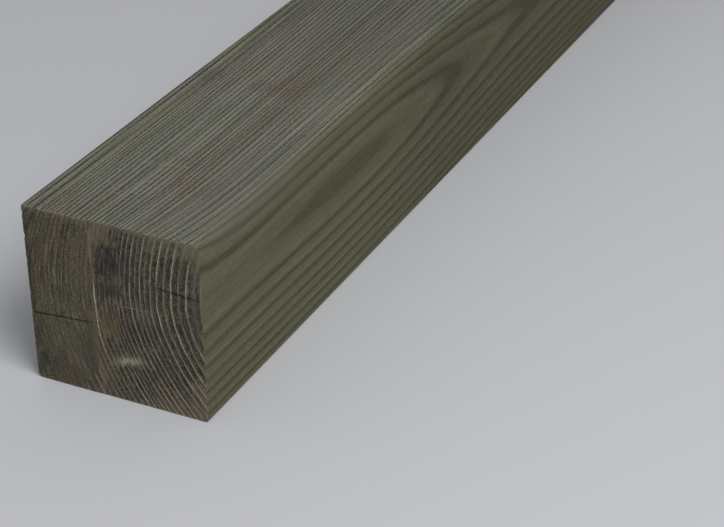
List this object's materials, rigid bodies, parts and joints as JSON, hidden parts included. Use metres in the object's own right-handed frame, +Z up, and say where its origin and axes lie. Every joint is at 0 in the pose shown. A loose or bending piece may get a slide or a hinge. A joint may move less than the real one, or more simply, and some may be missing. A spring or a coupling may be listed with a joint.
{
  "type": "treated timber beam",
  "caption": "Square sawn beam of pressure-treated softwood, cross-cut at both ends, with growth rings and thin drying checks showing on its end.",
  "frame": {"origin": "middle of the bottom face, halfway along the beam", "axes": "+Z up, +Y along the beam away from the end that the picture shows, +X to the right of someone who looks at that end"},
  "size_m": [0.15, 1.8, 0.15],
  "materials": {
    "treated_timber": "matte"
  },
  "bodies": {
    "root": {"beam": "treated_timber"}
  },
  "joints": []
}
